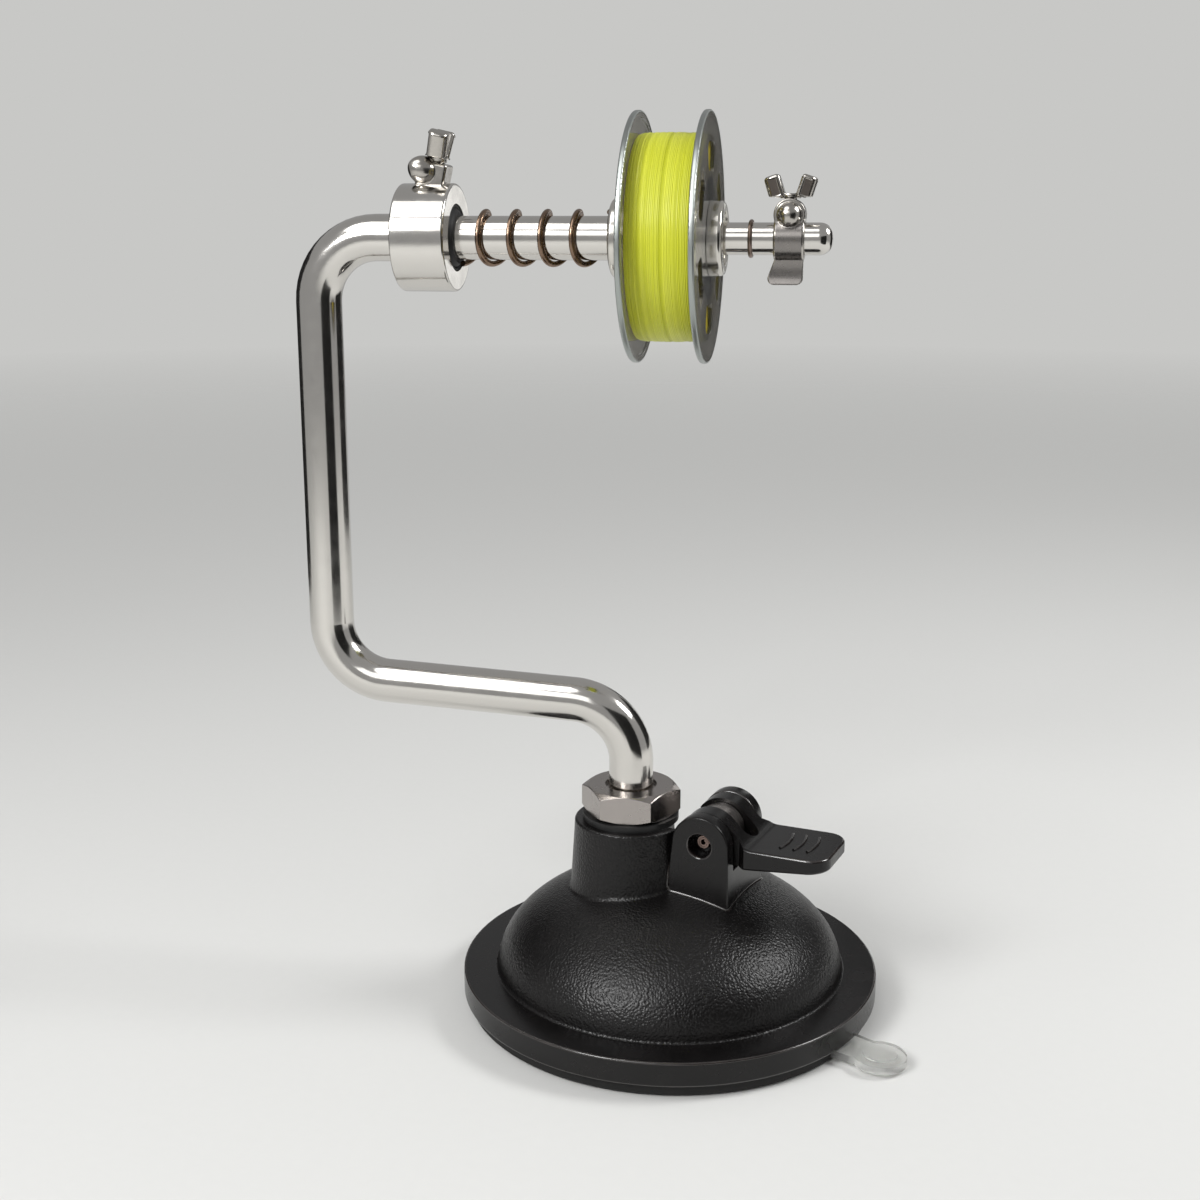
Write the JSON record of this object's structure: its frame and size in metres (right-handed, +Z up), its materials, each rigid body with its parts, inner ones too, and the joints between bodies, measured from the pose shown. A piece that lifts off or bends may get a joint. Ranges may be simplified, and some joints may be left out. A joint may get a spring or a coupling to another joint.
{
  "type": "fishing line winder",
  "caption": "Line winder on a lever-locked suction base: a bent steel arm carries a sprung, braked spindle that holds a spool of line between two bushes and a clamped stop.",
  "frame": {"origin": "middle of the suction cup's underside, on the surface it stands on", "axes": "+Z up, away from that surface; +X along the spindle towards its free end"},
  "size_m": [0.1671, 0.114, 0.2369],
  "materials": {
    "housing_plastic": "matte black, fine grain",
    "cup_rubber": "smooth black",
    "tab_clear": "clear, soft",
    "insert_brass": "turned",
    "zinc_plate": "zinc plated",
    "stem_steel": "polished",
    "pin_steel": "oiled spring steel",
    "lever_plastic": "satin black",
    "tube_steel": "polished stainless",
    "nut_steel": "satin, bright chamfers",
    "washer_nylon": "black",
    "clip_steel": "spring steel",
    "collar_steel": "turned and polished",
    "cast_steel": "polished casting",
    "seal_rubber": "black",
    "sleeve_bronze": "turned",
    "pad_nylon": "natural",
    "spindle_steel": "ground and polished",
    "ring_wire": "drawn wire",
    "spring_wire": "drawn wire",
    "bush_aluminium": "polished",
    "spool_clear": "smoky clear",
    "line_yellow": "fluorescent, wound"
  },
  "bodies": {
    "base": {"base_housing": "housing_plastic", "suction_cup": "cup_rubber", "release_tab": "tab_clear", "boss_insert": "insert_brass"},
    "stem": {"lift_stem": "stem_steel", "lift_plate": "zinc_plate", "lever_pin": "pin_steel"},
    "lever": {"cam_lever": "lever_plastic"},
    "arm": {"arm_tube": "tube_steel", "hex_nut": "nut_steel", "nut_washer": "washer_nylon", "foot_circlip": "clip_steel", "shaft_collar": "collar_steel", "collar_screw_boss": "cast_steel", "collar_seal": "seal_rubber", "journal_sleeve": "sleeve_bronze"},
    "brake_screw": {"brake_wing_screw": "cast_steel", "brake_pad": "pad_nylon"},
    "spindle_shaft": {"spindle": "spindle_steel", "journal_circlip": "clip_steel", "drag_spring": "spring_wire", "wire_ring": "ring_wire"},
    "bushes": {"left_bush": "bush_aluminium", "right_bush": "bush_aluminium"},
    "spool": {"spool_left_half": "spool_clear", "spool_right_half": "spool_clear", "line_winding": "line_yellow"},
    "stop": {"stop_collar": "cast_steel"},
    "stop_screw": {"stop_wing_screw": "cast_steel"}
  },
  "joints": [
    {"name": "stem_lift", "type": "slide", "parent": "base", "child": "stem", "axis": [0, 0, 1], "range_m": [-0.0013, 0], "deforming": ["suction_cup"]},
    {"name": "lever_turn", "type": "hinge", "parent": "stem", "child": "lever", "pos_m": [0.013, -0.0002, 0.0494], "axis": [-0.2504, -0.9681, 0], "range_deg": [0, 90]},
    {"name": "arm_swing", "type": "hinge", "parent": "base", "child": "arm", "pos_m": [-0.011, 0, 0.0515], "axis": [0, 0, 1], "range_deg": [-130, 130]},
    {"name": "brake_screw_turn", "type": "hinge", "parent": "arm", "child": "brake_screw", "pos_m": [-0.0632, 0, 0.2196], "axis": [0.225, 0, 0.9744], "continuous": true},
    {"name": "spindle_spin", "type": "hinge", "parent": "arm", "child": "spindle_shaft", "pos_m": [-0.057, 0, 0.206], "axis": [1, 0, 0], "continuous": true},
    {"name": "bush_slide", "type": "slide", "parent": "spindle_shaft", "child": "bushes", "axis": [1, 0, 0], "range_m": [-0.008, 0.0055], "stiffness_N_per_m": 400, "deforming": ["drag_spring"]},
    {"name": "spool_spin", "type": "hinge", "parent": "bushes", "child": "spool", "pos_m": [-0.00105, 0, 0.206], "axis": [1, 0, 0], "continuous": true},
    {"name": "stop_slide", "type": "slide", "parent": "spindle_shaft", "child": "stop", "axis": [1, 0, 0], "range_m": [-0.005, 0.0145]},
    {"name": "stop_screw_turn", "type": "hinge", "parent": "stop", "child": "stop_screw", "pos_m": [0.0281, 0, 0.215], "axis": [0, 0, 1], "continuous": true}
  ],
  "couplings": [
    {"joint": "lever_turn", "follows": "stem_lift", "rad_per_m": -1208.3}
  ]
}
